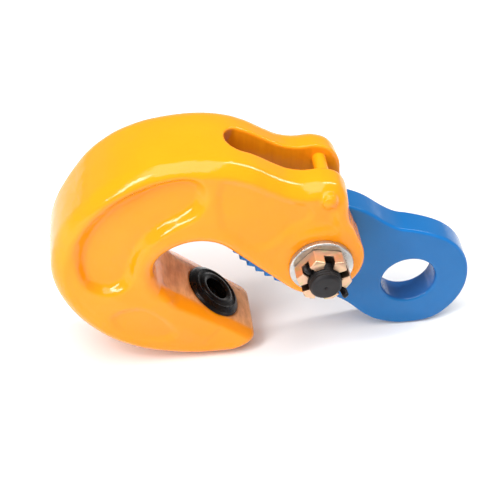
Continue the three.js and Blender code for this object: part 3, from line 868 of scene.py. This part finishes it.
def yellow_zinc():
    """Yellow passivated zinc, with painted shade down the slots."""
    f = Finish("yellow_zinc", Metallic=0.8)
    hue = f.noise(260, 3)
    tone = f.mix(f.ramp(hue, 0.35, 0.5), (0.62, 0.44, 0.27, 1), (0.64, 0.40, 0.27, 1))
    tone = f.mix(f.ramp(hue, 0.52, 0.66), tone, (0.52, 0.44, 0.24, 1))
    # Near black down the slots: painted shade inside the nut's slots.
    tone = f.mix(f.math("MULTIPLY", f.attribute("slot_shade"), 0.93), tone, (0.02, 0.011, 0.007, 1))
    rough = f.ramp(f.noise(340, 3), 0.3, 0.75, 0.3, 0.46)
    return f.drive(Base_Color=tone, Roughness=rough, Normal=f.bump(f.noise(520, 3), 0.00005))


def bolt_steel():
    """Black steel, a little greyer on the end face."""
    f = Finish("black_steel", Metallic=0.3, Specular_IOR_Level=0.25)
    rings = turned_rings(f, pivot, AXIS_Y, TURNING)
    end = f.mix(f.ramp(f.noise(90, 4, 0.6), 0.3, 0.7), (0.016, 0.015, 0.016, 1), (0.026, 0.024, 0.026, 1))
    side = f.mix(f.noise(160, 3), (0.008, 0.007, 0.007, 1), (0.018, 0.016, 0.016, 1))
    rough = f.ramp(f.noise(220, 3), 0.25, 0.8, 0.38, 0.55)
    bumps = f.bump(rings, 0.00003, 0.6, f.bump(f.noise(700, 2), 0.00003, 0.7))
    return f.drive(Base_Color=f.mix(f.attribute("end"), side, end), Roughness=rough, Normal=bumps)


# --- Pieces ---------------------------------------------------------------------------------------------

pivot = tuple(PIVOT)
anvil_x, anvil_z = on_jaw_face(ANVIL_ALONG)
anvil_centre = tuple(PIVOT + MM * np.array([anvil_x, 0, anvil_z]))
yellow, blue = body_paint(), lever_paint()
black = bolt_steel()
pin_black = metal("pin_black", rgb(20, 18, 19), rgb(40, 37, 38), (0.35, 0.55), pivot, AXIS_Y, 0.5, 0.0)
zinc = metal("zinc_plate", (0.36, 0.355, 0.345, 1), (0.56, 0.56, 0.55, 1), (0.24, 0.4), pivot, AXIS_Y, 0.9)
anvil_black = metal("anvil_black", (0.003, 0.0026, 0.0026, 1), (0.012, 0.008, 0.006, 1), (0.22, 0.36),
                    anvil_centre, JAW_AXIS, 0.4)

coarse = 1.0
near_washer, far_washer = washer_shape("nut_washer"), washer_shape("head_washer")
PIECES = [
    # name, CAD node, body, slot, shape, margin, grid step, material, marks
    ("forged_body", "clamp_body", "body", "body_paint", body_shape, 1.5, 0.86 * coarse, yellow, body_marks),
    ("toothed_lever", "cam_lever", "lever", "lever_paint", lever_shape, 1.1, 0.5 * coarse, blue, lever_marks),
    ("hex_bolt", "pivot_bolt", "body", "black_steel", bolt_shape, 0.9, 0.4 * coarse, black, bolt_marks),
    ("slotted_nut", "castle_nut", "body", "yellow_zinc", nut_shape, 0.7, 0.3, yellow_zinc(), nut_marks),
    ("washer_nut_side", "nut_washer", "body", "zinc_plate", near_washer, 0.7, 0.35, zinc, None),
    ("washer_head_side", "head_washer", "body", "zinc_plate", far_washer, 0.7, 0.35, zinc, None),
    ("cotter", "split_pin", "body", "pin_black", pin_shape, 1, 0.25, pin_black, None),
    ("lever_stop", "stop_pin", "body", "body_paint", stop_shape, 1, 0.4, yellow, None),
    ("anvil_pad", "jaw_anvil", "body", "anvil_black", anvil_shape, 1, 0.35, anvil_black, None),
    ("socket_screw", "anvil_screw", "body", "anvil_black", screw_shape, 1, 0.35, anvil_black, None),
]
for row in PIECES:
    piece(*row)

# --- Floor, light and camera ----------------------------------------------------------------------------


def floor():
    """The pale floor, just under the part."""
    size, drop = 3.0, 0.0003
    corners = [(-size, -size, 0), (size, -size, 0), (size, size, 0), (-size, size, 0)]
    mesh = bpy.data.meshes.new("floor")
    mesh.from_pydata(corners, [], [(0, 1, 2, 3)])
    made = bpy.data.objects.new("floor", mesh)
    bpy.context.scene.collection.objects.link(made)
    f = Finish("floor", Roughness=0.9)
    tone = f.mix(f.noise(3, 2), (0.86, 0.86, 0.86, 1), (0.88, 0.88, 0.88, 1))
    made.data.materials.append(f.drive(Base_Color=tone))
    made.location.z = -drop


def aimed(name, data, target, azimuth, elevation, distance):
    """A lamp or camera that looks at the target from a direction and distance."""
    made = bpy.data.objects.new(name, data)
    a, e = azimuth * RAD, elevation * RAD
    back = Vector((math.sin(a) * math.cos(e), -math.cos(a) * math.cos(e), math.sin(e)))
    made.location = Vector(target) + back * distance
    made.rotation_mode = "QUATERNION"
    made.rotation_quaternion = (-back).to_track_quat("-Z", "Y")
    bpy.context.scene.collection.objects.link(made)
    return made


def lamp(name, azimuth, elevation, distance, width, height, power):
    """A rectangular soft lamp aimed at the middle of the clamp."""
    data = bpy.data.lights.new(name, "AREA")
    data.shape, data.size, data.size_y, data.energy = "RECTANGLE", width, height, power
    return aimed(name, data, PIVOT + MM * np.array([-40, 0, 0]), azimuth, elevation, distance)


def studio():
    """White surroundings, brighter near the horizon than overhead."""
    world = bpy.data.worlds.new("studio")
    bpy.context.scene.world = world
    world.use_nodes = True
    nodes, links = world.node_tree.nodes, world.node_tree.links
    place = nodes.new("ShaderNodeTexCoord")
    split = nodes.new("ShaderNodeSeparateXYZ")
    fall = nodes.new("ShaderNodeMapRange")
    links.new(place.outputs["Generated"], split.inputs[0])
    links.new(split.outputs["Z"], fall.inputs["Value"])
    for socket, value in (("From Min", 0.1), ("From Max", 0.6), ("To Min", 0.5), ("To Max", 0.25)):
        fall.inputs[socket].default_value = value
    links.new(fall.outputs["Result"], nodes["Background"].inputs["Strength"])
    nodes["Background"].inputs["Color"].default_value = (1, 1, 1, 1)


def camera(target, azimuth, elevation, distance, lens):
    """The scene's camera, with its lens in millimetres."""
    data = bpy.data.cameras.new("camera")
    data.lens, data.sensor_width = lens, 36
    data.clip_start, data.clip_end = 0.01, 20
    bpy.context.scene.camera = aimed("camera", data, target, azimuth, elevation, distance)


floor()
# Each lamp's azimuth, elevation, distance, width, height and power.
lamp("overhead", -20, 80, 1.3, 1.2, 1.2, 19.5)
lamp("left_strip", -53, 42, 1.0, 0.15, 0.7, 7.5)
lamp("right_strip", 105, 48, 1.0, 0.08, 0.7, 4.5)
lamp("front", -5, 25, 1.5, 1.0, 0.6, 1.0).visible_glossy = False
studio()
bpy.context.scene.view_settings.view_transform = "Standard"
target = PIVOT + MM * np.array([-31.05, 0, -11.47])
camera(target, azimuth=-7.29, elevation=43.22, distance=0.7, lens=100.8)
